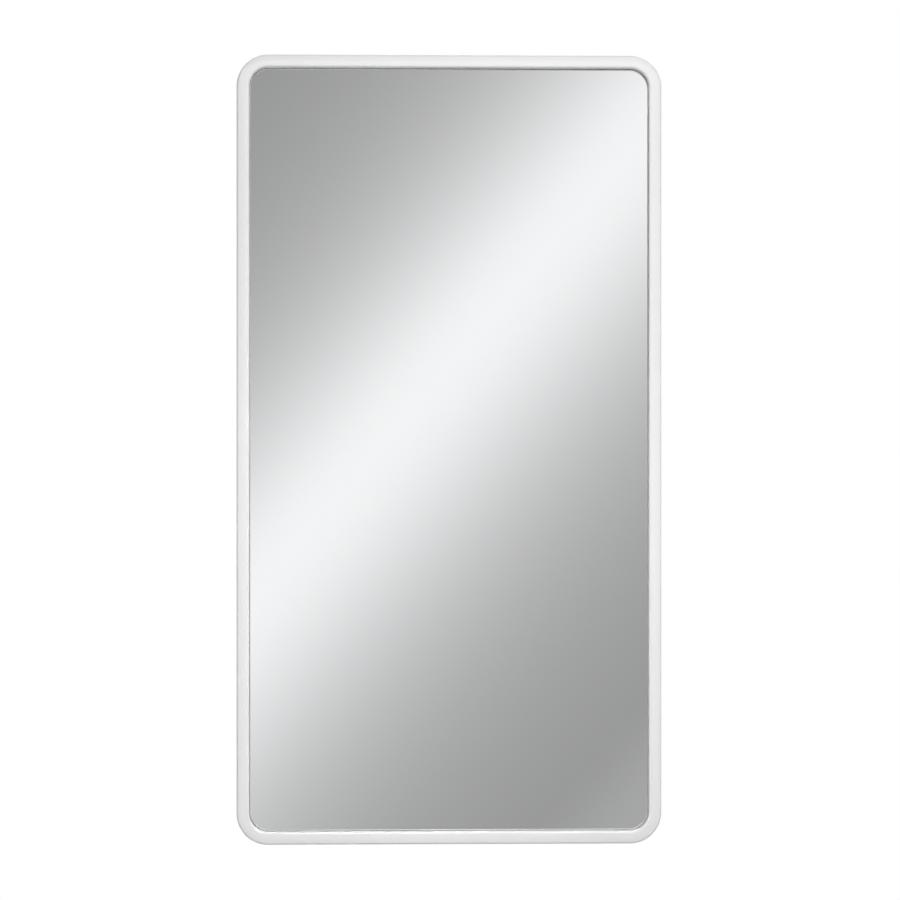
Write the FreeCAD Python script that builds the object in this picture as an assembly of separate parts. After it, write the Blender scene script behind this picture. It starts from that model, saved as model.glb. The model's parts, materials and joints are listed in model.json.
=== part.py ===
import FreeCAD, Part
import math
import os

# Tall wall mirror with a white lacquered frame and round corners, in millimetres.
# X runs to the right, Z up and +Y towards the wall, so the glass faces -Y.
# The origin lies on the wall, midway between the entry holes of the two keyhole plates.

# Whole mirror
overall_width = 700.0
overall_height = 1300.0
outer_corner_radius = 52.0
hang_drop = 300.0

# Frame section: a sloping outer face, a flat crown and a lip in front of the glass
face_width = 21.0
face_fall = 1.4
lip_depth = 10.0
rebate_width = 7.0
outer_edge_radius = 4.5
inner_edge_radius = 3.5
back_edge_radius = 1.0
arris_radius = 0.5
crown_share = 0.45
crown_blend_share = 0.29

# Dowelled butt joints between the straight members and the corner blocks
dowel_diameter = 6.0
dowel_length = 30.0
dowel_chamfer = 0.8
dowel_clearance = 0.05
dowel_end_clearance = 0.8
joint_cover = 9.2
dowel_depth_shares = (0.3, 0.7)

# Glass and the layers of the back, from the lip to the wall side
tape_thickness = 1.0
tape_setback = 0.2
tape_edge_inset = 0.25
glass_thickness = 4.0
glass_clearance = 1.5
glass_arris = 0.5
film_thickness = 0.2
film_inset = 1.0
packing_thickness = 3.8
packing_inset = 4.0
board_thickness = 3.0
board_clearance = 1.0
setting_pad_length = 30.0
setting_pad_share = 0.25

# Pan-head screws, the same in the hanger plates and in the turn buttons
screw_diameter = 3.5
screw_cover = 7.5
screw_tip_length = 3.0
screw_tip_diameter = 0.6
screw_head_diameter = 6.6
screw_head_height = 2.2
screw_head_radius = 1.5
pilot_clearance = 0.05
pilot_end_clearance = 0.5
recess_length_share = 0.55
recess_width_share = 0.15
recess_depth_share = 0.55

# Turn buttons
button_thickness = 1.2
button_pivot_radius = 5.5
button_tip_radius = 4.0
button_length = 17.0
button_edge_radius = 0.25
button_play = 0.1
button_hanger_gap = 20.0
rail_button_shares = (-0.3, 0.3)

# Raised keyhole hanger plates
hanger_width = 12.5
hanger_thickness = 1.5
hanger_rise = 5.0
hanger_ramp_run = 4.0
hanger_foot_length = 14.0
hanger_corner_radius = 3.0
hanger_bend_radius = 1.0
hanger_hole_clearance = 0.2
keyhole_entry_diameter = 9.5
keyhole_slot_width = 4.6
keyhole_travel = 11.0
keyhole_margin = 5.2

# Rubber wall pads
wall_pad_taper = 0.8
wall_pad_edge_radius = 0.8

# One overrun for every cut that passes through
cut_overrun = 1.0
quarter_turn = 90.0

# Depths along Y
frame_depth = (lip_depth + tape_thickness + glass_thickness + film_thickness
               + packing_thickness + board_thickness)
wall_gap = hanger_rise + hanger_thickness
frame_back = -wall_gap
frame_front = frame_back - frame_depth
glass_front = frame_front + lip_depth + tape_thickness
film_front = glass_front + glass_thickness
packing_front = film_front + film_thickness
board_front = packing_front + packing_thickness

# Places in the plane of the frame
half_width = overall_width / 2
frame_top = hang_drop
frame_bottom = hang_drop - overall_height
middle_height = (frame_top + frame_bottom) / 2
rear_wall = face_width - rebate_width
rear_wall_middle = rear_wall / 2
joint_leg = dowel_length / 2 + dowel_end_clearance + joint_cover
straight_half_width = half_width - outer_corner_radius - joint_leg
straight_half_height = overall_height / 2 - outer_corner_radius - joint_leg
glass_edge = rear_wall + glass_clearance

# Screws and hanger plates
screw_length = frame_depth - screw_cover + hanger_thickness
hanger_flat_bottom = -(keyhole_entry_diameter / 2 + keyhole_margin)
hanger_flat_top = keyhole_travel + keyhole_slot_width / 2 + keyhole_margin
hanger_bottom = hanger_flat_bottom - hanger_ramp_run - hanger_foot_length
hanger_top = hanger_flat_top + hanger_ramp_run + hanger_foot_length
hanger_screw_heights = (hanger_bottom + hanger_foot_length / 2, hanger_top - hanger_foot_length / 2)

# Heights of the turn buttons on the stiles, the upper ones clear of the hanger plates
button_reach = button_length + button_tip_radius
upper_button_height = hanger_top + button_hanger_gap + button_reach
stile_button_heights = {
    "top": upper_button_height,
    "middle": middle_height,
    "bottom": 2 * middle_height - upper_button_height,
}

along_x = FreeCAD.Vector(1, 0, 0)
along_y = FreeCAD.Vector(0, 1, 0)
along_z = FreeCAD.Vector(0, 0, 1)

sides = {"left": -1, "right": 1}
ends = {"top": 1, "bottom": -1}


def rounded_wire(points, radii):
    """Closed wire through the points, each corner rounded by its own radius."""
    starts = []
    arcs = []
    stops = []
    for index, corner in enumerate(points):
        radius = radii[index]
        before = (points[index - 1] - corner).normalize()
        after = (points[(index + 1) % len(points)] - corner).normalize()
        half_angle = before.getAngle(after) / 2
        reach = radius / math.tan(half_angle)
        start = corner + before * reach
        stop = corner + after * reach
        if radius > 0:
            bisector = (before + after).normalize()
            middle = corner + bisector * (radius / math.sin(half_angle) - radius)
            arcs.append(Part.Arc(start, middle, stop).toShape())
        else:
            arcs.append(None)
        starts.append(start)
        stops.append(stop)
    edges = []
    for index, arc in enumerate(arcs):
        if arc is not None:
            edges.append(arc)
        following = starts[(index + 1) % len(points)]
        edges.append(Part.makeLine(stops[index], following))
    return Part.Wire(edges)


def cylinder(start, direction, radius, length):
    return Part.makeCylinder(radius, length, start, direction)


def turned(profile, radii, axis_point):
    """Solid of revolution about the Y direction from (radius, height) points."""
    points = [axis_point + along_x * radius + along_y * height for radius, height in profile]
    face = Part.Face(rounded_wire(points, radii))
    return face.revolve(axis_point, along_y, 4 * quarter_turn)


def frame_section(edge_point, inward):
    """Section of the frame, where edge_point lies on the outer edge in the plane of the crown."""
    crown_line = face_width * (1 - crown_share)
    slope = math.atan2(face_fall, crown_line)
    blend_radius = crown_line * crown_blend_share / math.tan(slope / 2)
    outline = (
        (0, frame_depth, back_edge_radius),
        (0, face_fall, outer_edge_radius),
        (crown_line, 0, blend_radius),
        (face_width, 0, inner_edge_radius),
        (face_width, lip_depth, arris_radius),
        (rear_wall, lip_depth, 0),
        (rear_wall, frame_depth, arris_radius),
    )
    points = [edge_point + inward * across + along_y * depth for across, depth, _ in outline]
    return Part.Face(rounded_wire(points, [radius for _, _, radius in outline]))


def corner_centre(side, end):
    """Centre of one round corner, in the plane of the crown."""
    return FreeCAD.Vector(
        side * (half_width - outer_corner_radius),
        frame_front,
        middle_height + end * (overall_height / 2 - outer_corner_radius),
    )


def joint_seats():
    """Middle point and direction of every butt joint, at the outer edge of the frame."""
    seats = []
    for side in sides.values():
        for end in ends.values():
            centre = corner_centre(side, end)
            on_stile = centre + along_x * (side * outer_corner_radius) - along_z * (end * joint_leg)
            on_rail = centre + along_z * (end * outer_corner_radius) - along_x * (side * joint_leg)
            seats.append((on_stile, along_x * -side, along_z))
            seats.append((on_rail, along_z * -end, along_x))
    return seats


def dowel_lines():
    """Middle point and direction of every dowel."""
    lines = []
    for edge_point, inward, direction in joint_seats():
        for share in dowel_depth_shares:
            depth = along_y * (frame_depth * share)
            lines.append((edge_point + inward * rear_wall_middle + depth, direction))
    return lines


def dowel_holes():
    holes = []
    reach = dowel_length / 2 + dowel_end_clearance
    for middle, direction in dowel_lines():
        radius = dowel_diameter / 2 + dowel_clearance
        holes.append(cylinder(middle - direction * reach, direction, radius, 2 * reach))
    return holes


def corner_dowels():
    dowels = []
    for middle, direction in dowel_lines():
        start = middle - direction * (dowel_length / 2)
        dowel = cylinder(start, direction, dowel_diameter / 2, dowel_length)
        rims = [edge for edge in dowel.Edges if len(edge.Vertexes) == 1]
        dowels.append(dowel.makeChamfer(dowel_chamfer, rims))
    return Part.makeCompound(dowels)


def stile(side):
    base = FreeCAD.Vector(side * half_width, frame_front, middle_height - straight_half_height)
    return frame_section(base, along_x * -side).extrude(along_z * (2 * straight_half_height))


def rail(end):
    base = FreeCAD.Vector(-straight_half_width, frame_front, middle_height + end * overall_height / 2)
    return frame_section(base, along_z * -end).extrude(along_x * (2 * straight_half_width))


def corner_block(side, end):
    """Quarter ring of the frame section with a straight leg at each end."""
    centre = corner_centre(side, end)
    stile_section = frame_section(centre + along_x * (side * outer_corner_radius), along_x * -side)
    rail_section = frame_section(centre + along_z * (end * outer_corner_radius), along_z * -end)
    bend = stile_section.revolve(centre, along_y, -quarter_turn * side * end)
    stile_leg = stile_section.extrude(along_z * (-end * joint_leg))
    rail_leg = rail_section.extrude(along_x * (-side * joint_leg))
    return bend.fuse([stile_leg, rail_leg]).removeSplitter()


def screw_places():
    """Points on the back of the frame where a screw goes in, with what it clamps there."""
    button_stack = button_thickness + 2 * button_play
    places = [(pivot, button_stack) for pivot, _ in button_pivots().values()]
    for side in sides.values():
        for height in hanger_screw_heights:
            places.append((hanger_point(side, height), hanger_thickness))
    return places


def pilot_holes():
    holes = []
    for point, clamped in screw_places():
        depth = screw_length - clamped + pilot_end_clearance
        holes.append(cylinder(point, along_y * -1, screw_diameter / 2 + pilot_clearance, depth))
    return holes


def frame_members():
    members = {}
    for side_name, side in sides.items():
        members[side_name + "_stile"] = stile(side)
    for end_name, end in ends.items():
        members[end_name + "_rail"] = rail(end)
        for side_name, side in sides.items():
            members["corner_block_" + end_name + "_" + side_name] = corner_block(side, end)
    holes = dowel_holes() + pilot_holes()
    return {name: member.cut(holes) for name, member in members.items()}


def rounded_sheet(edge, front, thickness):
    """Sheet with round corners that follows the frame, its edge this far in from the outside."""
    half = half_width - edge
    bottom = frame_bottom + edge
    top = frame_top - edge
    corners = ((-half, bottom), (half, bottom), (half, top), (-half, top))
    points = [FreeCAD.Vector(across, front, height) for across, height in corners]
    outline = rounded_wire(points, [outer_corner_radius - edge] * len(points))
    return Part.Face(outline).extrude(along_y * thickness)


def mirror_glass():
    sheet = rounded_sheet(glass_edge, glass_front, glass_thickness)
    rims = [edge for edge in sheet.Edges if edge.BoundBox.YLength < glass_arris]
    return sheet.makeChamfer(glass_arris, rims)


def glazing_tape():
    """Foam tape laid round the back of the lip, in front of the glass."""
    front = frame_front + lip_depth
    tape = rounded_sheet(glass_edge + tape_edge_inset, front, tape_thickness)
    return tape.cut(rounded_sheet(face_width - tape_setback, front, tape_thickness))


def setting_pads():
    """Two pads that fill the gap between the bottom rail and the edge of the glass."""
    glass_width = overall_width - 2 * glass_edge
    pads = []
    for side in sides.values():
        left = side * glass_width * setting_pad_share - setting_pad_length / 2
        corner = FreeCAD.Vector(left, glass_front, frame_bottom + rear_wall)
        pads.append(Part.makeBox(setting_pad_length, glass_thickness, glass_clearance, corner))
    return Part.makeCompound(pads)


def button_pivots():
    """Pivot point on the back of the frame and inward direction of every turn button."""
    pivots = {}
    for side_name, side in sides.items():
        across = side * (half_width - rear_wall_middle)
        for place, height in stile_button_heights.items():
            point = FreeCAD.Vector(across, frame_back, height)
            pivots["turn_button_" + side_name + "_" + place] = (point, along_x * -side)
    for end_name, end in ends.items():
        height = middle_height + end * (overall_height / 2 - rear_wall_middle)
        for side_name, share in zip(sides, rail_button_shares):
            point = FreeCAD.Vector(2 * straight_half_width * share, frame_back, height)
            pivots["turn_button_" + end_name + "_" + side_name] = (point, along_z * -end)
    return pivots


def turn_button(pivot, inward):
    """Flat tapered button with two round ends, lying over the edge of the backing board."""
    across = along_y.cross(inward)
    centre = pivot + along_y * button_play
    tip = centre + inward * button_length
    lean = math.asin((button_pivot_radius - button_tip_radius) / button_length)
    upper = inward * math.sin(lean) + across * math.cos(lean)
    lower = inward * math.sin(lean) - across * math.cos(lean)
    pivot_upper = centre + upper * button_pivot_radius
    pivot_lower = centre + lower * button_pivot_radius
    tip_upper = tip + upper * button_tip_radius
    tip_lower = tip + lower * button_tip_radius
    heel = centre - inward * button_pivot_radius
    nose = tip + inward * button_tip_radius
    outline = Part.Wire([
        Part.Arc(pivot_upper, heel, pivot_lower).toShape(),
        Part.makeLine(pivot_lower, tip_lower),
        Part.Arc(tip_lower, nose, tip_upper).toShape(),
        Part.makeLine(tip_upper, pivot_upper),
    ])
    plate = Part.Face(outline).extrude(along_y * button_thickness)
    rims = [edge for edge in plate.Edges if edge.BoundBox.YLength < button_edge_radius]
    plate = plate.makeFillet(button_edge_radius, rims)
    hole_radius = screw_diameter / 2 + pilot_clearance
    return plate.cut(cylinder(centre, along_y, hole_radius, button_thickness))


def pan_screw(seat):
    """Pan-head screw with a cross recess; its head bears on the plane through seat."""
    head_radius = screw_head_diameter / 2
    body_end = screw_tip_length - screw_length
    profile = (
        (0, screw_head_height),
        (head_radius, screw_head_height),
        (head_radius, 0),
        (screw_diameter / 2, 0),
        (screw_diameter / 2, body_end),
        (screw_tip_diameter / 2, -screw_length),
        (0, -screw_length),
    )
    screw = turned(profile, (0, screw_head_radius, 0, 0, 0, 0, 0), seat)
    length = screw_head_diameter * recess_length_share
    width = screw_head_diameter * recess_width_share
    depth = screw_head_height * recess_depth_share
    floor = seat + along_y * (screw_head_height - depth)
    slots = []
    for size_x, size_z in ((length, width), (width, length)):
        corner = floor - along_x * (size_x / 2) - along_z * (size_z / 2)
        slots.append(Part.makeBox(size_x, depth + cut_overrun, size_z, corner))
    return screw.cut(slots)


def hanger_point(side, height):
    """Point on the middle line of one hanger plate, on the back of the frame."""
    return FreeCAD.Vector(side * (half_width - rear_wall_middle), frame_back, height)


def hanger_screws():
    seats = []
    for side in sides.values():
        for height in hanger_screw_heights:
            seats.append(hanger_point(side, height) + along_y * hanger_thickness)
    return Part.makeCompound([pan_screw(seat) for seat in seats])


def turn_button_screws():
    lift = along_y * (button_thickness + 2 * button_play)
    return Part.makeCompound([pan_screw(pivot + lift) for pivot, _ in button_pivots().values()])


def hanger_strip(base):
    """Bent strip of the hanger plate in side view, extruded over its width."""
    ramp_angle = math.atan2(hanger_rise, hanger_ramp_run)
    shift = hanger_thickness * math.tan(ramp_angle / 2)
    inside = hanger_bend_radius
    outside = hanger_bend_radius + hanger_thickness
    foot_rear = hanger_thickness
    bridge_front = hanger_rise
    bridge_rear = wall_gap
    outline = (
        (0, hanger_bottom, 0),
        (0, hanger_flat_bottom - hanger_ramp_run, outside),
        (bridge_front, hanger_flat_bottom, inside),
        (bridge_front, hanger_flat_top, inside),
        (0, hanger_flat_top + hanger_ramp_run, outside),
        (0, hanger_top, 0),
        (foot_rear, hanger_top, 0),
        (foot_rear, hanger_flat_top + hanger_ramp_run + shift, inside),
        (bridge_rear, hanger_flat_top + shift, outside),
        (bridge_rear, hanger_flat_bottom - shift, outside),
        (foot_rear, hanger_flat_bottom - hanger_ramp_run - shift, inside),
        (foot_rear, hanger_bottom, 0),
    )
    left = base - along_x * (hanger_width / 2)
    points = [left + along_y * depth + along_z * height for depth, height, _ in outline]
    face = Part.Face(rounded_wire(points, [radius for _, _, radius in outline]))
    return face.extrude(along_x * hanger_width)


def keyhole_cut(base):
    """Entry hole with a narrow slot above it, through the raised part of the plate."""
    depth = hanger_thickness + 2 * cut_overrun
    entry = base + along_y * (hanger_rise - cut_overrun)
    seat = entry + along_z * keyhole_travel
    slot_corner = entry - along_x * (keyhole_slot_width / 2)
    return [
        cylinder(entry, along_y, keyhole_entry_diameter / 2, depth),
        cylinder(seat, along_y, keyhole_slot_width / 2, depth),
        Part.makeBox(keyhole_slot_width, depth, keyhole_travel, slot_corner),
    ]


def hanger_plate(side):
    base = hanger_point(side, 0)
    half = hanger_width / 2
    corners = ((-half, hanger_bottom), (half, hanger_bottom), (half, hanger_top), (-half, hanger_top))
    points = [base + along_x * across + along_z * height for across, height in corners]
    plan = Part.Face(rounded_wire(points, [hanger_corner_radius] * len(points)))
    strip = hanger_strip(base).common(plan.extrude(along_y * wall_gap))
    cuts = keyhole_cut(base)
    for height in hanger_screw_heights:
        hole_radius = screw_diameter / 2 + hanger_hole_clearance
        cuts.append(cylinder(hanger_point(side, height), along_y, hole_radius, hanger_thickness))
    return strip.cut(cuts)


def wall_pad(side):
    """Tapered rubber pad on a bottom corner block, as tall as the gap to the wall."""
    ring = outer_corner_radius - rear_wall_middle
    spread = ring * math.cos(math.radians(quarter_turn / 2))
    centre = corner_centre(side, ends["bottom"])
    seat = FreeCAD.Vector(centre.x + side * spread, frame_back, centre.z - spread)
    base_radius = rear_wall_middle - back_edge_radius
    profile = (
        (0, 0),
        (base_radius, 0),
        (base_radius - wall_pad_taper, wall_gap),
        (0, wall_gap),
    )
    return turned(profile, (0, 0, wall_pad_edge_radius, 0), seat)


def mirror_nodes():
    nodes = frame_members()
    nodes["corner_dowels"] = corner_dowels()
    nodes["mirror_glass"] = mirror_glass()
    nodes["safety_film"] = rounded_sheet(glass_edge + film_inset, film_front, film_thickness)
    nodes["glazing_tape"] = glazing_tape()
    nodes["setting_pads"] = setting_pads()
    nodes["packing_sheet"] = rounded_sheet(rear_wall + packing_inset, packing_front, packing_thickness)
    nodes["backing_board"] = rounded_sheet(rear_wall + board_clearance, board_front, board_thickness)
    for name, (pivot, inward) in button_pivots().items():
        nodes[name] = turn_button(pivot, inward)
    nodes["turn_button_screws"] = turn_button_screws()
    nodes["hanger_screws"] = hanger_screws()
    for side_name, side in sides.items():
        nodes[side_name + "_hanger_plate"] = hanger_plate(side)
        nodes[side_name + "_wall_pad"] = wall_pad(side)
    return nodes


os.makedirs("parts", exist_ok=True)
for name, shape in mirror_nodes().items():
    box = shape.BoundBox
    print(name, len(shape.Solids), shape.isValid(), round(shape.Volume, 1), box)
    shape.exportStep("parts/" + name + ".step")
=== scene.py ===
import json
import math

import bmesh
import bpy
from mathutils import Matrix, Vector


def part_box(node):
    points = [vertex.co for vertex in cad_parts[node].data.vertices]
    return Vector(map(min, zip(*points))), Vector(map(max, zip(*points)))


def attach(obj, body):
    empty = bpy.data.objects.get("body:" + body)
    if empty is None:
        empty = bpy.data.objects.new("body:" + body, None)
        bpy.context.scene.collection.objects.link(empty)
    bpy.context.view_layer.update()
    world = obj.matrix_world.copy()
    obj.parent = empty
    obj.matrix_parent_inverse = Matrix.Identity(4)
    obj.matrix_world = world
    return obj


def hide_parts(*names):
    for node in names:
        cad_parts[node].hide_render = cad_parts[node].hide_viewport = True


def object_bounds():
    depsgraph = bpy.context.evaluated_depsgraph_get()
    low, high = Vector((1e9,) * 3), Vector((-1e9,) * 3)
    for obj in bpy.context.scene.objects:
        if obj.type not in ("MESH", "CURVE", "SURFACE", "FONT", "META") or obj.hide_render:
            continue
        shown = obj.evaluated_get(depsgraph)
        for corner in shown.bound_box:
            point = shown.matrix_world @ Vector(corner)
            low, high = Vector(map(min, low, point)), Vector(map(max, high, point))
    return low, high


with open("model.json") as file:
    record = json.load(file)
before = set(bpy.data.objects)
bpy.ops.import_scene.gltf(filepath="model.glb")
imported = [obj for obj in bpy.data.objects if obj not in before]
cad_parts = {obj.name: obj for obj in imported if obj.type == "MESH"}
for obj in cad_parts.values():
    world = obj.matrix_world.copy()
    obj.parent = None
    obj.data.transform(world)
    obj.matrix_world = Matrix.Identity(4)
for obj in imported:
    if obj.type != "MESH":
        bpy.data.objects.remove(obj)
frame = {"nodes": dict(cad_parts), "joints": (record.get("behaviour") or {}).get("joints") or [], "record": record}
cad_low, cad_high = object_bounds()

# Tall wall mirror with a white lacquered frame. Metres; the glass faces -Y and the wall is at +Y.

X = Vector((1, 0, 0))
Y = Vector((0, 1, 0))
Z = Vector((0, 0, 1))
QUARTER_TURN = math.radians(90.0)

# Frame section, read across from the outer edge and back from the crown
OUTER_CORNER_RADIUS = 0.052
FACE_FALL = 0.0014
CROWN_SHARE = 0.45
CROWN_BLEND_SHARE = 0.29
LIP_DEPTH = 0.010
REBATE_WIDTH = 0.007
OUTER_EDGE_RADIUS = 0.0045
INNER_EDGE_RADIUS = 0.0035
BACK_EDGE_RADIUS = 0.001
ARRIS_RADIUS = 0.0005
EDGE_STEPS = 10
CORNER_STEPS = 48
SHARP_ANGLE = math.radians(40.0)

# Sheets behind the lip. The gap keeps the face of the glass out of the plane of the tape.
GLASS_ARRIS = 0.0005
GLASS_GAP = 0.00005
BOARD_ARRIS = 0.0004
SILVER_COVER = 0.0001
SILVER_THICKNESS = 0.00005
SHEET_CORNER_STEPS = 32

# Pan-head screws with a cross recess
SCREW_STEPS = 36
SCREW_DOME_STEPS = 6
SCREW_RADIUS = 0.00175
SCREW_TIP_RADIUS = 0.0003
SCREW_TIP_LENGTH = 0.003
SCREW_HEAD_RADIUS = 0.0033
SCREW_HEAD_HEIGHT = 0.0022
SCREW_DOME_RADIUS = 0.0015
RECESS_REACH = 0.0018
RECESS_WIDTH = 0.0010
RECESS_DEPTH = 0.0012
RECESS_TAPER = 0.75

# View of the photograph: 900 by 900 pixels, from a little left of the middle
PHOTO_PIXELS = 900.0
PHOTO_HEIGHT_PIXELS = 790.2
PHOTO_MIDDLE_PIXELS = (449.4, 449.7)
VIEW_DISTANCE = 3.3
VIEW_LEFT = 0.063
SENSOR_WIDTH = 36.0

# Places read from the solids
stile_low, stile_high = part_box("left_stile")
FACE_WIDTH = stile_high.x - stile_low.x
FRAME_DEPTH = stile_high.y - stile_low.y
FRONT = stile_low.y
HALF_WIDTH = cad_high.x
TOP = cad_high.z
BOTTOM = cad_low.z
MIDDLE = (TOP + BOTTOM) / 2
REAR_WALL = FACE_WIDTH - REBATE_WIDTH
FACE_MIDDLE = Vector((0.0, FRONT, MIDDLE))
STRAIGHT_END = stile_high.z

# Lamps: name, place, aim, side of the square, level, spread in degrees
LAMPS = (
    ("front_key", Vector((0.1, -3.2, 1.9)), FACE_MIDDLE, 1.2, 0.425, 180.0),
    ("near_front", FACE_MIDDLE - Y * 1.2, FACE_MIDDLE, 0.3, 0.303, 180.0),
    ("right_side", Vector((2.2, -1.6, 1.2)), FACE_MIDDLE, 1.2, 0.191, 180.0),
    ("feathered", Vector((0.4, -1.1, 1.1)), Vector((-0.3, FRONT, BOTTOM - 0.2)), 0.5, 0.0207, 44.0),
    ("lower_right", Vector((-0.5, -0.8, 0.4)), Vector((0.4, FRONT, BOTTOM - 0.1)), 0.5, 0.0089, 44.0),
    ("rear_fill", FACE_MIDDLE + Vector((-1.6, 2.6, 1.4)), FACE_MIDDLE, 2.0, 0.5, 180.0),
)
AMBIENT_LEVEL = 0.14
WHITE = (1.0, 1.0, 1.0, 1.0)

# Floor, which fades to white between two shares of its radius
FLOOR_DROP = 0.8
FLOOR_RADIUS = 3.0
FLOOR_FADE_START = 0.4
FLOOR_FADE_STOP = 0.95
FLOOR_STEPS = 96
FLOOR_COLOUR = (0.9, 0.9, 0.9, 1.0)

# Card that the glass shows: grey with a crest of light across it. The slant points down to the
# right, the ridge is the crest's place along it, and the reaches are its fall on either side.
CARD_DISTANCE = 3.7
CARD_HALF_WIDTH = 5.0
CARD_HALF_HEIGHT = 4.0
CARD_SLANT = (0.7615, 0.0, -0.6481)
CARD_RIDGE = -0.139
CARD_GREY = 0.305
CARD_CREST = 0.645
CARD_UPPER_REACH = 0.322
CARD_LOWER_REACH = 0.355
CARD_BLEND = 0.3
CARD_CORNER_LIFT = 0.08
CARD_CORNER_START = 1.25
CARD_CORNER_STOP = 1.55

# Strip light in front of the card, just above what the glass shows of it
STRIP_LEVEL = 11.7
STRIP_HALF_LENGTH = 2.0
STRIP_HALF_HEIGHT = 0.185
STRIP_RISE = 1.565
STRIP_GAP = 0.01

# Sockets of the Mix node when it mixes colours
MIX_FACTOR = 0
MIX_FIRST = 6
MIX_SECOND = 7
MIX_RESULT = 2


class Wire:
    """Output socket of a node; arithmetic on it adds Math nodes to the same tree."""

    def __init__(self, tree, socket):
        self.tree = tree
        self.socket = socket

    def reckon(self, operation, first, second):
        return self.tree.make("ShaderNodeMath", {"operation": operation}, {0: first, 1: second})

    def __add__(self, other):
        return self.reckon("ADD", self, other)

    def __radd__(self, other):
        return self.reckon("ADD", other, self)

    def __sub__(self, other):
        return self.reckon("SUBTRACT", self, other)

    def __rsub__(self, other):
        return self.reckon("SUBTRACT", other, self)

    def __mul__(self, other):
        return self.reckon("MULTIPLY", self, other)

    def __rmul__(self, other):
        return self.reckon("MULTIPLY", other, self)

    def __truediv__(self, other):
        return self.reckon("DIVIDE", self, other)

    def __rtruediv__(self, other):
        return self.reckon("DIVIDE", other, self)


class Tree:
    """Node tree of a material or world, emptied and ready for new nodes."""

    def __init__(self, owner):
        owner.use_nodes = True
        self.owner = owner
        self.nodes = owner.node_tree.nodes
        self.links = owner.node_tree.links
        self.nodes.clear()

    def make(self, kind, settings, sockets, output=0):
        """Adds a node: its settings first, then the values or links of its sockets."""
        node = self.nodes.new(kind)
        for name, value in settings.items():
            setattr(node, name, value)
        for name, value in sockets.items():
            if isinstance(value, Wire):
                self.links.new(value.socket, node.inputs[name])
            else:
                node.inputs[name].default_value = value
        if not node.outputs:
            return None
        return Wire(self, node.outputs[output])

    def place(self):
        return self.make("ShaderNodeTexCoord", {}, {}, "Object")

    def drawn_out(self, vector, lengths, turn=0.0):
        """Coordinates that lengthen a pattern along the axes, which are turned about Y first."""
        sockets = {"Vector": vector, "Scale": lengths, "Rotation": (0.0, turn, 0.0)}
        return self.make("ShaderNodeMapping", {"vector_type": "TEXTURE"}, sockets)

    def noise(self, vector, scale, detail=2.0, roughness=0.5, distortion=0.0):
        sockets = {"Vector": vector, "Scale": scale, "Detail": detail, "Roughness": roughness,
                   "Distortion": distortion}
        return self.make("ShaderNodeTexNoise", {}, sockets, "Fac")

    def cells(self, vector, scale):
        sockets = {"Vector": vector, "Scale": scale}
        return self.make("ShaderNodeTexVoronoi", {}, sockets, "Distance")

    def fade(self, value, start, stop):
        """Smooth step from 0 at start to 1 at stop."""
        sockets = {"Value": value, "From Min": start, "From Max": stop}
        return self.make("ShaderNodeMapRange", {"interpolation_type": "SMOOTHSTEP"}, sockets)

    def mix(self, factor, first, second):
        """Colour between a first, a wire or three numbers, and a second of three numbers."""
        if not isinstance(first, Wire):
            first = (*first, 1.0)
        sockets = {MIX_FACTOR: factor, MIX_FIRST: first, MIX_SECOND: (*second, 1.0)}
        return self.make("ShaderNodeMix", {"data_type": "RGBA"}, sockets, MIX_RESULT)

    def bump(self, height, strength, distance):
        sockets = {"Height": height, "Strength": strength, "Distance": distance}
        return self.make("ShaderNodeBump", {}, sockets)

    def glow(self, colour, strength):
        return self.make("ShaderNodeEmission", {}, {"Color": colour, "Strength": strength})

    def show(self, shader):
        """Puts the shader on the surface and gives the finished material."""
        self.make("ShaderNodeOutputMaterial", {}, {"Surface": shader})
        return self.owner

    def surface(self, **sockets):
        """Principled surface; an underscore stands for a space in the name of a socket."""
        named = {name.replace("_", " "): value for name, value in sockets.items()}
        return self.show(self.make("ShaderNodeBsdfPrincipled", {}, named))


def new_material(name):
    return Tree(bpy.data.materials.new(name))


def white_lacquer():
    """Sprayed satin white with a faint orange peel."""
    tree = new_material("white_lacquer")
    place = tree.place()
    peel = tree.noise(place, scale=420.0)
    cloud = tree.noise(place, scale=9.0, detail=3.0)
    return tree.surface(
        Base_Color=tree.mix(cloud, (0.80, 0.80, 0.797), (0.83, 0.83, 0.828)),
        Roughness=0.28 + 0.06 * cloud,
        Normal=tree.bump(peel, strength=0.12, distance=0.0002),
    )


def raw_board():
    """Fibreboard left bare at the back, with white overspray creeping in from the outer edge."""
    tree = new_material("raw_board")
    place = tree.place()
    fibre = tree.noise(place, scale=900.0, detail=4.0, roughness=0.7)
    cloud = tree.noise(place, scale=60.0, detail=4.0, roughness=0.6)
    across = tree.make("ShaderNodeAttribute", {"attribute_name": "across"}, {}, "Fac")
    ragged = across + 0.004 * (cloud - 0.5)
    overspray = 1.0 - tree.fade(ragged, start=0.0005, stop=0.0095)
    board = tree.mix(fibre, (0.30, 0.20, 0.115), (0.47, 0.335, 0.21))
    return tree.surface(
        Base_Color=tree.mix(overspray * 0.9, board, (0.78, 0.78, 0.77)),
        Roughness=0.8 - 0.25 * overspray,
        Normal=tree.bump(fibre, strength=0.25, distance=0.0002),
    )


def clear_glass():
    """Clear float glass with a trace of haze."""
    tree = new_material("clear_glass")
    haze = tree.noise(tree.place(), scale=7.0, detail=3.0)
    return tree.surface(
        Base_Color=(0.985, 0.988, 0.99, 1.0),
        Roughness=0.004 * tree.fade(haze, start=0.5, stop=0.8),
        IOR=1.52,
        Transmission_Weight=1.0,
    )


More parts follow.
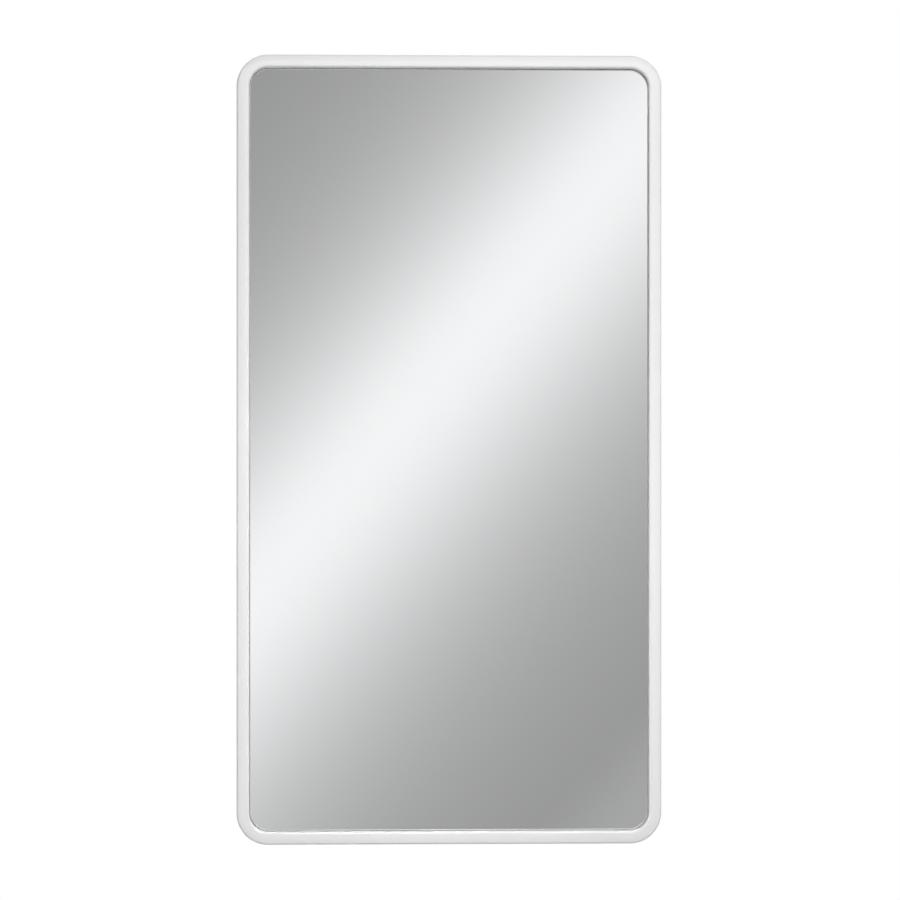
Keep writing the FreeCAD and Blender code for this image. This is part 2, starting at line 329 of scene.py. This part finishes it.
def silvering():
    """Bright silver behind the glass, hardly uneven."""
    tree = new_material("silvering")
    cloud = tree.noise(tree.place(), scale=3.0)
    return tree.surface(
        Base_Color=tree.mix(cloud, (0.955, 0.959, 0.968), (0.961, 0.963, 0.97)),
        Metallic=1.0,
        Roughness=0.0,
    )


def hardboard():
    """Brown wet-process hardboard: matted fibres, darker flecks lying every way, a polished face."""
    tree = new_material("hardboard")
    place = tree.place()
    fibre = tree.noise(place, scale=430.0, detail=5.0, roughness=0.65, distortion=1.6)
    cloud = tree.noise(place, scale=6.0, detail=4.0, roughness=0.6)
    flecks = 0.0
    for turn, scale in ((0.3, 900.0), (1.4, 760.0), (-0.7, 820.0)):
        slivers = tree.noise(tree.drawn_out(place, (1.0, 1.0, 4.0), turn), scale, detail=1.0)
        flecks = flecks + tree.fade(slivers, start=0.67, stop=0.76)
    tone = tree.mix(cloud, (0.225, 0.125, 0.062), (0.315, 0.19, 0.10))
    grain = tree.mix(tree.fade(fibre, start=0.35, stop=0.7), tone, (0.41, 0.27, 0.155))
    return tree.surface(
        Base_Color=tree.mix(0.7 * flecks, grain, (0.13, 0.07, 0.035)),
        Roughness=0.48 + 0.22 * fibre,
        Normal=tree.bump(fibre, strength=0.2, distance=0.0002),
    )


def zinc(name, tone, sheen, scratches):
    """Zinc-plated steel with drawing marks and a faint cloudy passivation."""
    tree = new_material(name)
    place = tree.place()
    lengthwise = tree.drawn_out(place, (1.0, 1.0, 16.0))
    marks = tree.noise(lengthwise, scale=2600.0, detail=3.0, roughness=0.6)
    cloud = tree.noise(place, scale=160.0, detail=3.0, roughness=0.6)
    bright = tuple(min(1.0, channel * sheen) for channel in tone)
    return tree.surface(
        Base_Color=tree.mix(tree.fade(cloud + marks, start=0.6, stop=1.4), tone, bright),
        Metallic=1.0,
        Roughness=0.29 + 0.14 * cloud + scratches * marks,
        Normal=tree.bump(marks, strength=0.12, distance=0.00005),
    )


def black_rubber():
    """Matt black rubber with a grey bloom."""
    tree = new_material("black_rubber")
    place = tree.place()
    grain = tree.noise(place, scale=1500.0, detail=3.0)
    bloom = tree.noise(place, scale=120.0, detail=3.0)
    return tree.surface(
        Base_Color=tree.mix(bloom, (0.018, 0.018, 0.019), (0.05, 0.05, 0.052)),
        Roughness=0.62 + 0.2 * bloom,
        Normal=tree.bump(grain, strength=0.3, distance=0.0001),
    )


def foam_tape():
    """White foam with fine pores, with painted shade darkening the hollow of each pore."""
    tree = new_material("foam_tape")
    pores = tree.cells(tree.place(), scale=2400.0)
    painted_pore_shade = tree.fade(pores, start=0.1, stop=0.5)
    return tree.surface(
        # Painted shade: the pore hollows are darker than the pore walls between them
        Base_Color=tree.mix(painted_pore_shade, (0.72, 0.72, 0.71), (0.9, 0.9, 0.89)),
        Roughness=0.85,
        Normal=tree.bump(pores, strength=0.4, distance=0.0001),
    )


def beech():
    """Pale reddish wood of the dowels."""
    tree = new_material("beech")
    grain = tree.noise(tree.place(), scale=700.0, detail=4.0)
    return tree.surface(
        Base_Color=tree.mix(grain, (0.58, 0.39, 0.24), (0.75, 0.56, 0.38)),
        Roughness=0.62 + 0.15 * grain,
        Normal=tree.bump(grain, strength=0.2, distance=0.0001),
    )


def corrugated_card():
    """Brown kraft card with its flutes showing through."""
    tree = new_material("corrugated_card")
    place = tree.place()
    bands = {"wave_type": "BANDS", "bands_direction": "X"}
    flutes = tree.make("ShaderNodeTexWave", bands, {"Vector": place, "Scale": 40.0}, "Fac")
    fibre = tree.noise(place, scale=500.0, detail=4.0, roughness=0.65)
    kraft = tree.mix(fibre, (0.42, 0.28, 0.16), (0.56, 0.40, 0.25))
    return tree.surface(
        Base_Color=tree.mix(0.3 * flutes, kraft, (0.34, 0.22, 0.12)),
        Roughness=0.75 + 0.15 * fibre,
        Normal=tree.bump(flutes, strength=0.3, distance=0.0003),
    )


def safety_film():
    """Grey woven film on the back of the silvering."""
    tree = new_material("safety_film")
    web = tree.noise(tree.place(), scale=300.0)
    return tree.surface(
        Base_Color=tree.mix(web, (0.46, 0.50, 0.53), (0.56, 0.59, 0.61)),
        Roughness=0.32 + 0.15 * web,
        Normal=tree.bump(web, strength=0.1, distance=0.0001),
    )


def new_object(name, mesh, *materials):
    """Makes an object of a finished bmesh."""
    data = bpy.data.meshes.new(name)
    mesh.to_mesh(data)
    mesh.free()
    for material in materials:
        data.materials.append(material)
    made = bpy.data.objects.new(name, data)
    bpy.context.scene.collection.objects.link(made)
    return made


def weigh_normals(made):
    """Keeps flat faces flat beside their rounded edges."""
    for polygon in made.data.polygons:
        polygon.use_smooth = True
    made.data.set_sharp_from_angle(angle=SHARP_ANGLE)
    modifier = made.modifiers.new("flat faces", "WEIGHTED_NORMAL")
    modifier.keep_sharp = True


def piece(name, mesh, materials, slot, *nodes):
    """Makes a piece of a finished bmesh, on the frame body, in place of the named CAD nodes."""
    made = new_object(name, mesh, *materials)
    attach(made, "frame")
    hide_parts(*nodes)
    weigh_normals(made)


def corner_cut(before, corner, after, radius):
    """Length that a rounding takes from each side of a corner of the section."""
    half = (before - corner).angle(after - corner) / 2
    return radius / math.tan(half)


def section_points():
    """Corners of the frame section as (across, deep), with the radius of each rounding."""
    crown_line = FACE_WIDTH * (1 - CROWN_SHARE)
    slope = math.atan2(FACE_FALL, crown_line)
    blend_radius = crown_line * CROWN_BLEND_SHARE / math.tan(slope / 2)
    return (
        (0.0, FRAME_DEPTH, BACK_EDGE_RADIUS),
        (0.0, FACE_FALL, OUTER_EDGE_RADIUS),
        (crown_line, 0.0, blend_radius),
        (FACE_WIDTH, 0.0, INNER_EDGE_RADIUS),
        (FACE_WIDTH, LIP_DEPTH, ARRIS_RADIUS),
        (REAR_WALL, LIP_DEPTH, 0.0),
        (REAR_WALL, FRAME_DEPTH, ARRIS_RADIUS),
    )


def section_loop(mesh):
    """Edges of the rounded section, in the XY plane, with its own coordinates kept on the points."""
    outline = section_points()
    corners = [mesh.verts.new((across, deep, 0.0)) for across, deep, _ in outline]
    mesh.faces.new(corners)
    places = [corner.co.copy() for corner in corners]
    count = len(corners)
    for index, corner in enumerate(corners):
        radius = outline[index][2]
        if radius == 0.0:
            continue
        cut = corner_cut(places[index - 1], places[index], places[(index + 1) % count], radius)
        bmesh.ops.bevel(mesh, geom=[corner], offset=cut, offset_type="OFFSET", segments=EDGE_STEPS,
                        profile=0.5, affect="VERTICES", material=-1)
    across = mesh.verts.layers.float.new("across")
    deep = mesh.verts.layers.float.new("deep")
    for vert in mesh.verts:
        vert[across] = vert.co.x
        vert[deep] = vert.co.y
    bmesh.ops.delete(mesh, geom=list(mesh.faces), context="FACES_ONLY")
    return list(mesh.edges)


def turn_section(mesh, edge_point, inward, direction):
    """Stands the section at a point of the outer edge, across along inward, to run along direction."""
    turn = Matrix((inward, Y, direction)).transposed().to_4x4()
    bmesh.ops.transform(mesh, matrix=Matrix.Translation(edge_point) @ turn, verts=list(mesh.verts))


def run_straight(mesh, edges, step):
    """Extrudes the open end of a member by a straight step and gives the new end."""
    made = bmesh.ops.extrude_edge_only(mesh, edges=edges)["geom"]
    verts = [item for item in made if isinstance(item, bmesh.types.BMVert)]
    bmesh.ops.translate(mesh, vec=step, verts=verts)
    return [item for item in made if isinstance(item, bmesh.types.BMEdge)]


def close_member(mesh):
    """Closes both ends and turns every face outwards; bare faces take the second material."""
    open_edges = [edge for edge in mesh.edges if edge.is_boundary]
    bmesh.ops.holes_fill(mesh, edges=open_edges, sides=0)
    bmesh.ops.recalc_face_normals(mesh, faces=list(mesh.faces))
    across = mesh.verts.layers.float["across"]
    deep = mesh.verts.layers.float["deep"]
    slack = ARRIS_RADIUS / 10
    for face in mesh.faces:
        behind_lip = max(vert[deep] for vert in face.verts) > LIP_DEPTH + slack
        inside_edge = max(vert[across] for vert in face.verts) > BACK_EDGE_RADIUS + slack
        face.material_index = int(behind_lip and inside_edge)


def straight_member(start, inward, direction, length):
    """Stile or rail from a start on its outer edge."""
    mesh = bmesh.new()
    edges = section_loop(mesh)
    turn_section(mesh, start, inward, direction)
    run_straight(mesh, edges, direction * length)
    close_member(mesh)
    return mesh


def corner_member(side, end):
    """Leg on the stile, quarter bend and leg on the rail, as one member."""
    leg = TOP - OUTER_CORNER_RADIUS - STRAIGHT_END
    centre = Vector((side * (HALF_WIDTH - OUTER_CORNER_RADIUS), FRONT,
                     MIDDLE + end * ((TOP - BOTTOM) / 2 - OUTER_CORNER_RADIUS)))
    start = centre + X * (side * OUTER_CORNER_RADIUS) - Z * (end * leg)
    mesh = bmesh.new()
    edges = section_loop(mesh)
    turn_section(mesh, start, X * -side, Z * end)
    edges = run_straight(mesh, edges, Z * (end * leg))
    verts = list({vert for edge in edges for vert in edge.verts})
    spun = bmesh.ops.spin(mesh, geom=verts + edges, cent=centre, axis=Y, dvec=(0.0, 0.0, 0.0),
                          angle=-QUARTER_TURN * side * end, steps=CORNER_STEPS, use_merge=False)
    edges = [item for item in spun["geom_last"] if isinstance(item, bmesh.types.BMEdge)]
    run_straight(mesh, edges, X * (-side * leg))
    close_member(mesh)
    return mesh


def build_frame(lacquer, board):
    """Eight members, white in front and at the sides, bare at the back."""
    members = {}
    for name, side in (("left_stile", -1), ("right_stile", 1)):
        low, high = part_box(name)
        start = Vector((side * HALF_WIDTH, FRONT, low.z))
        members[name] = straight_member(start, X * -side, Z, high.z - low.z)
    for name, end in (("top_rail", 1), ("bottom_rail", -1)):
        low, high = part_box(name)
        start = Vector((low.x, FRONT, TOP if end > 0 else BOTTOM))
        members[name] = straight_member(start, Z * -end, X, high.x - low.x)
    for end_name, end in (("top", 1), ("bottom", -1)):
        for side_name, side in (("left", -1), ("right", 1)):
            members["corner_block_" + end_name + "_" + side_name] = corner_member(side, end)
    for name, mesh in members.items():
        piece("lacquered_" + name, mesh, (lacquer, board), "white_lacquer", name)


def rounded_sheet(low, high, arris):
    """Sheet between two corners of a box, its own corners round to follow the frame."""
    mesh = bmesh.new()
    places = ((low.x, low.z), (high.x, low.z), (high.x, high.z), (low.x, high.z))
    corners = [mesh.verts.new((across, low.y, height)) for across, height in places]
    mesh.faces.new(corners)
    radius = OUTER_CORNER_RADIUS - (HALF_WIDTH - high.x)
    bmesh.ops.bevel(mesh, geom=corners, offset=radius, offset_type="OFFSET", segments=SHEET_CORNER_STEPS,
                    profile=0.5, affect="VERTICES", material=-1)
    made = bmesh.ops.extrude_face_region(mesh, geom=list(mesh.faces), use_keep_orig=True)["geom"]
    verts = [item for item in made if isinstance(item, bmesh.types.BMVert)]
    bmesh.ops.translate(mesh, vec=Y * (high.y - low.y), verts=verts)
    bmesh.ops.recalc_face_normals(mesh, faces=list(mesh.faces))
    if arris:
        rims = [edge for edge in mesh.edges if abs(edge.verts[0].co.y - edge.verts[1].co.y) < arris]
        bmesh.ops.bevel(mesh, geom=rims, offset=arris, offset_type="OFFSET", segments=1, profile=0.5,
                        affect="EDGES", material=-1)
    return mesh


def build_glass(glass, silver):
    """Clear sheet with a thin silver coat just inside its back."""
    low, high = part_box("mirror_glass")
    low = low + Y * GLASS_GAP
    sheet = rounded_sheet(low, high, GLASS_ARRIS)
    piece("glass_sheet", sheet, (glass,), "silvered_glass", "mirror_glass")
    inset = (X + Z) * GLASS_ARRIS
    silver_back = high.y - SILVER_COVER
    silver_low = Vector((low.x, silver_back - SILVER_THICKNESS, low.z)) + inset
    silver_high = Vector((high.x, silver_back, high.z)) - inset
    coat = rounded_sheet(silver_low, silver_high, 0.0)
    piece("silver_coat", coat, (silver,), "silvered_glass", "mirror_glass")


def build_back(board):
    """Hardboard sheet that closes the rebate."""
    low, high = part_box("backing_board")
    sheet = rounded_sheet(low, high, BOARD_ARRIS)
    piece("hardboard_back", sheet, (board,), "hardboard", "backing_board")


def loop_at(mesh, height, radius):
    """Round loop of edges about Z."""
    made = bmesh.ops.create_circle(mesh, cap_ends=False, radius=radius, segments=SCREW_STEPS,
                                   matrix=Matrix.Translation(Z * height))
    return list({edge for vert in made["verts"] for edge in vert.link_edges})


def cross_loop(mesh, height, scale):
    """Outline of the cross recess at one height."""
    long = RECESS_REACH * scale
    half = RECESS_WIDTH / 2 * scale
    arm = ((half, half), (half, long), (-half, long), (-half, half), (-long, half), (-long, -half),
           (-half, -half), (-half, -long), (half, -long), (half, -half), (long, -half), (long, half))
    verts = [mesh.verts.new((across, up, height)) for across, up in arm]
    return [mesh.edges.new((verts[index - 1], vert)) for index, vert in enumerate(verts)]


def pan_screw(mesh, seat, length):
    """Adds one screw whose head bears on the plane through seat and stands towards the wall."""
    before = set(mesh.verts)
    loops = [
        loop_at(mesh, -length, SCREW_TIP_RADIUS),
        loop_at(mesh, SCREW_TIP_LENGTH - length, SCREW_RADIUS),
        loop_at(mesh, 0.0, SCREW_RADIUS),
        loop_at(mesh, 0.0, SCREW_HEAD_RADIUS),
    ]
    dome_base = SCREW_HEAD_HEIGHT - SCREW_DOME_RADIUS
    for step in range(SCREW_DOME_STEPS + 1):
        angle = QUARTER_TURN * step / SCREW_DOME_STEPS
        radius = SCREW_HEAD_RADIUS - SCREW_DOME_RADIUS * (1 - math.cos(angle))
        loops.append(loop_at(mesh, dome_base + SCREW_DOME_RADIUS * math.sin(angle), radius))
    loops.append(cross_loop(mesh, SCREW_HEAD_HEIGHT, 1.0))
    loops.append(cross_loop(mesh, SCREW_HEAD_HEIGHT - RECESS_DEPTH, RECESS_TAPER))
    for lower, upper in zip(loops, loops[1:]):
        bmesh.ops.bridge_loops(mesh, edges=lower + upper)
    bmesh.ops.contextual_create(mesh, geom=loops[-1])
    bmesh.ops.contextual_create(mesh, geom=loops[0])
    new = [vert for vert in mesh.verts if vert not in before]
    turn = Matrix.Rotation(-QUARTER_TURN, 4, "X")
    bmesh.ops.transform(mesh, matrix=Matrix.Translation(seat) @ turn, verts=new)


def screw_set(name, places, material):
    """All screws of one CAD node, at places given across and up."""
    low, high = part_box(name)
    seat_depth = high.y - SCREW_HEAD_HEIGHT
    mesh = bmesh.new()
    for across, height in places:
        pan_screw(mesh, Vector((across, seat_depth, height)), seat_depth - low.y)
    bmesh.ops.recalc_face_normals(mesh, faces=list(mesh.faces))
    piece(name + "_pan_heads", mesh, (material,), "zinc_screw", name)


def build_screws(material):
    """Screws of the turn buttons, on the hinges' axes, and of the hanger plates."""
    pivots = [Vector(joint["pos_m"]) for joint in frame["joints"]]
    screw_set("turn_button_screws", [(pivot.x, pivot.z) for pivot in pivots], material)
    low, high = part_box("hanger_screws")
    places = []
    for across in (low.x + SCREW_HEAD_RADIUS, high.x - SCREW_HEAD_RADIUS):
        for height in (low.z + SCREW_HEAD_RADIUS, high.z - SCREW_HEAD_RADIUS):
            places.append((across, height))
    screw_set("hanger_screws", places, material)


def dress_nodes(finishes):
    """Gives every CAD node the finish of its material slot."""
    for subpart in frame["record"]["subparts"]:
        node = frame["nodes"][subpart["node"]]
        node.data.materials.clear()
        node.data.materials.append(finishes[subpart["material_slot"]])


def background_rays(tree):
    """1 for rays that show the background: seen straight, in a gloss or through glass."""
    kinds = [tree.make("ShaderNodeLightPath", {}, {}, name)
             for name in ("Is Camera Ray", "Is Glossy Ray", "Is Transmission Ray")]
    return tree.make("ShaderNodeClamp", {}, {"Value": kinds[0] + kinds[1] + kinds[2]})


def build_world():
    """White background with a weak, even light."""
    world = bpy.data.worlds.new("studio")
    bpy.context.scene.world = world
    tree = Tree(world)
    shown = background_rays(tree)
    white = tree.make("ShaderNodeBackground", {}, {"Color": WHITE, "Strength": 1.0})
    soft = tree.make("ShaderNodeBackground", {}, {"Color": WHITE, "Strength": AMBIENT_LEVEL})
    mixed = tree.make("ShaderNodeMixShader", {}, {0: shown, 1: soft, 2: white})
    tree.make("ShaderNodeOutputWorld", {}, {"Surface": mixed})


def stage_object(name, mesh, material, place):
    """Object of the stage, which is no part of the mirror."""
    made = new_object(name, mesh, material)
    made.location = place
    return made


def build_floor():
    """Pale floor under the hung mirror, fading to white where it ends."""
    tree = new_material("pale_floor")
    away = tree.make("ShaderNodeVectorMath", {"operation": "LENGTH"}, {0: tree.place()}, "Value")
    diffuse = tree.make("ShaderNodeBsdfDiffuse", {}, {"Color": FLOOR_COLOUR})
    outward = tree.fade(away, FLOOR_RADIUS * FLOOR_FADE_START, FLOOR_RADIUS * FLOOR_FADE_STOP)
    fading = background_rays(tree) * outward
    sockets = {0: fading, 1: diffuse, 2: tree.glow(WHITE, 1.0)}
    material = tree.show(tree.make("ShaderNodeMixShader", {}, sockets))
    mesh = bmesh.new()
    bmesh.ops.create_circle(mesh, cap_ends=True, radius=FLOOR_RADIUS, segments=FLOOR_STEPS)
    stage_object("floor", mesh, material, Z * (BOTTOM - FLOOR_DROP))


def stand(name, half_width, half_height, place, material):
    """Upright sheet of the stage, seen only in a gloss or through glass."""
    mesh = bmesh.new()
    turn = Matrix.Rotation(QUARTER_TURN, 4, "X")
    size = Matrix.Diagonal((half_width, 1.0, half_height, 1.0))
    bmesh.ops.create_grid(mesh, x_segments=1, y_segments=1, size=1.0, matrix=size @ turn)
    made = stage_object(name, mesh, material, place)
    made.visible_camera = False
    made.visible_diffuse = False
    made.visible_shadow = False


def build_card():
    """Backdrop that the glass shows: a soft white diagonal between two greys."""
    tree = new_material("diagonal_card")
    sockets = {0: tree.place(), 1: CARD_SLANT}
    along = tree.make("ShaderNodeVectorMath", {"operation": "DOT_PRODUCT"}, sockets, "Value")
    away = along - CARD_RIDGE
    lower = tree.fade(away, -CARD_BLEND, CARD_BLEND)
    reach = CARD_UPPER_REACH + (CARD_LOWER_REACH - CARD_UPPER_REACH) * lower
    fall = tree.make("ShaderNodeMath", {"operation": "COSH"}, {0: away / reach})
    corner = CARD_CORNER_LIFT * tree.fade(away, CARD_CORNER_START, CARD_CORNER_STOP)
    level = CARD_GREY + CARD_CREST / fall + corner
    material = tree.show(tree.glow(level, 1.0))
    place = FACE_MIDDLE - Y * CARD_DISTANCE
    stand("diagonal_card", CARD_HALF_WIDTH, CARD_HALF_HEIGHT, place, material)


def build_strip():
    """Long light above the camera for the sheen on the top rail."""
    tree = new_material("strip_light")
    material = tree.show(tree.glow(WHITE, STRIP_LEVEL))
    place = FACE_MIDDLE - Y * (CARD_DISTANCE - STRIP_GAP) + Z * STRIP_RISE
    stand("strip_light", STRIP_HALF_LENGTH, STRIP_HALF_HEIGHT, place, material)


def area_light(name, place, aim, size, level, spread):
    """Square soft light. With the full spread, level is the brightness of a white card at its aim
    that faces it; a narrower spread gathers the same light and is brighter there."""
    data = bpy.data.lights.new(name, "AREA")
    data.shape = "SQUARE"
    data.size = size
    data.spread = math.radians(spread)
    data.energy = level * math.pi ** 2 * (place - aim).length_squared
    light = bpy.data.objects.new(name, data)
    bpy.context.scene.collection.objects.link(light)
    light.location = place
    light.rotation_mode = "QUATERNION"
    light.rotation_quaternion = (aim - place).to_track_quat("-Z", "Y")
    light.visible_camera = False
    light.visible_glossy = False
    light.visible_transmission = False


def build_camera():
    """Stands the camera where the photograph was taken and frames the mirror as it is there."""
    data = bpy.data.cameras.new("photograph")
    data.sensor_width = SENSOR_WIDTH
    metres_per_pixel = (TOP - BOTTOM) / PHOTO_HEIGHT_PIXELS
    data.lens = SENSOR_WIDTH * VIEW_DISTANCE / (PHOTO_PIXELS * metres_per_pixel)
    camera = bpy.data.objects.new("photograph", data)
    bpy.context.scene.collection.objects.link(camera)
    camera.location = Vector((-VIEW_LEFT, FRONT - VIEW_DISTANCE, MIDDLE))
    off_x = (PHOTO_PIXELS / 2 - PHOTO_MIDDLE_PIXELS[0]) * metres_per_pixel
    off_z = (PHOTO_PIXELS / 2 - PHOTO_MIDDLE_PIXELS[1]) * metres_per_pixel
    aim = Vector((off_x, FRONT, MIDDLE - off_z))
    camera.rotation_mode = "QUATERNION"
    camera.rotation_quaternion = (aim - camera.location).to_track_quat("-Z", "Y")
    bpy.context.scene.camera = camera


bpy.context.scene.view_settings.view_transform = "Standard"
lacquer = white_lacquer()
board = hardboard()
screw = zinc("zinc_screw", tone=(0.5, 0.51, 0.525), sheen=1.35, scratches=0.04)
silver = silvering()
dress_nodes({
    "white_lacquer": lacquer,
    "beech": beech(),
    "silvered_glass": silver,
    "clear_film": safety_film(),
    "foam_tape": foam_tape(),
    "black_rubber": black_rubber(),
    "corrugated_card": corrugated_card(),
    "hardboard": board,
    "zinc_plate": zinc("zinc_plate", tone=(0.4, 0.41, 0.425), sheen=1.4, scratches=0.12),
    "zinc_screw": screw,
})
build_frame(lacquer, raw_board())
build_glass(clear_glass(), silver)
build_back(board)
build_screws(screw)
build_world()
build_floor()
build_card()
build_strip()
for lamp in LAMPS:
    area_light(*lamp)
build_camera()
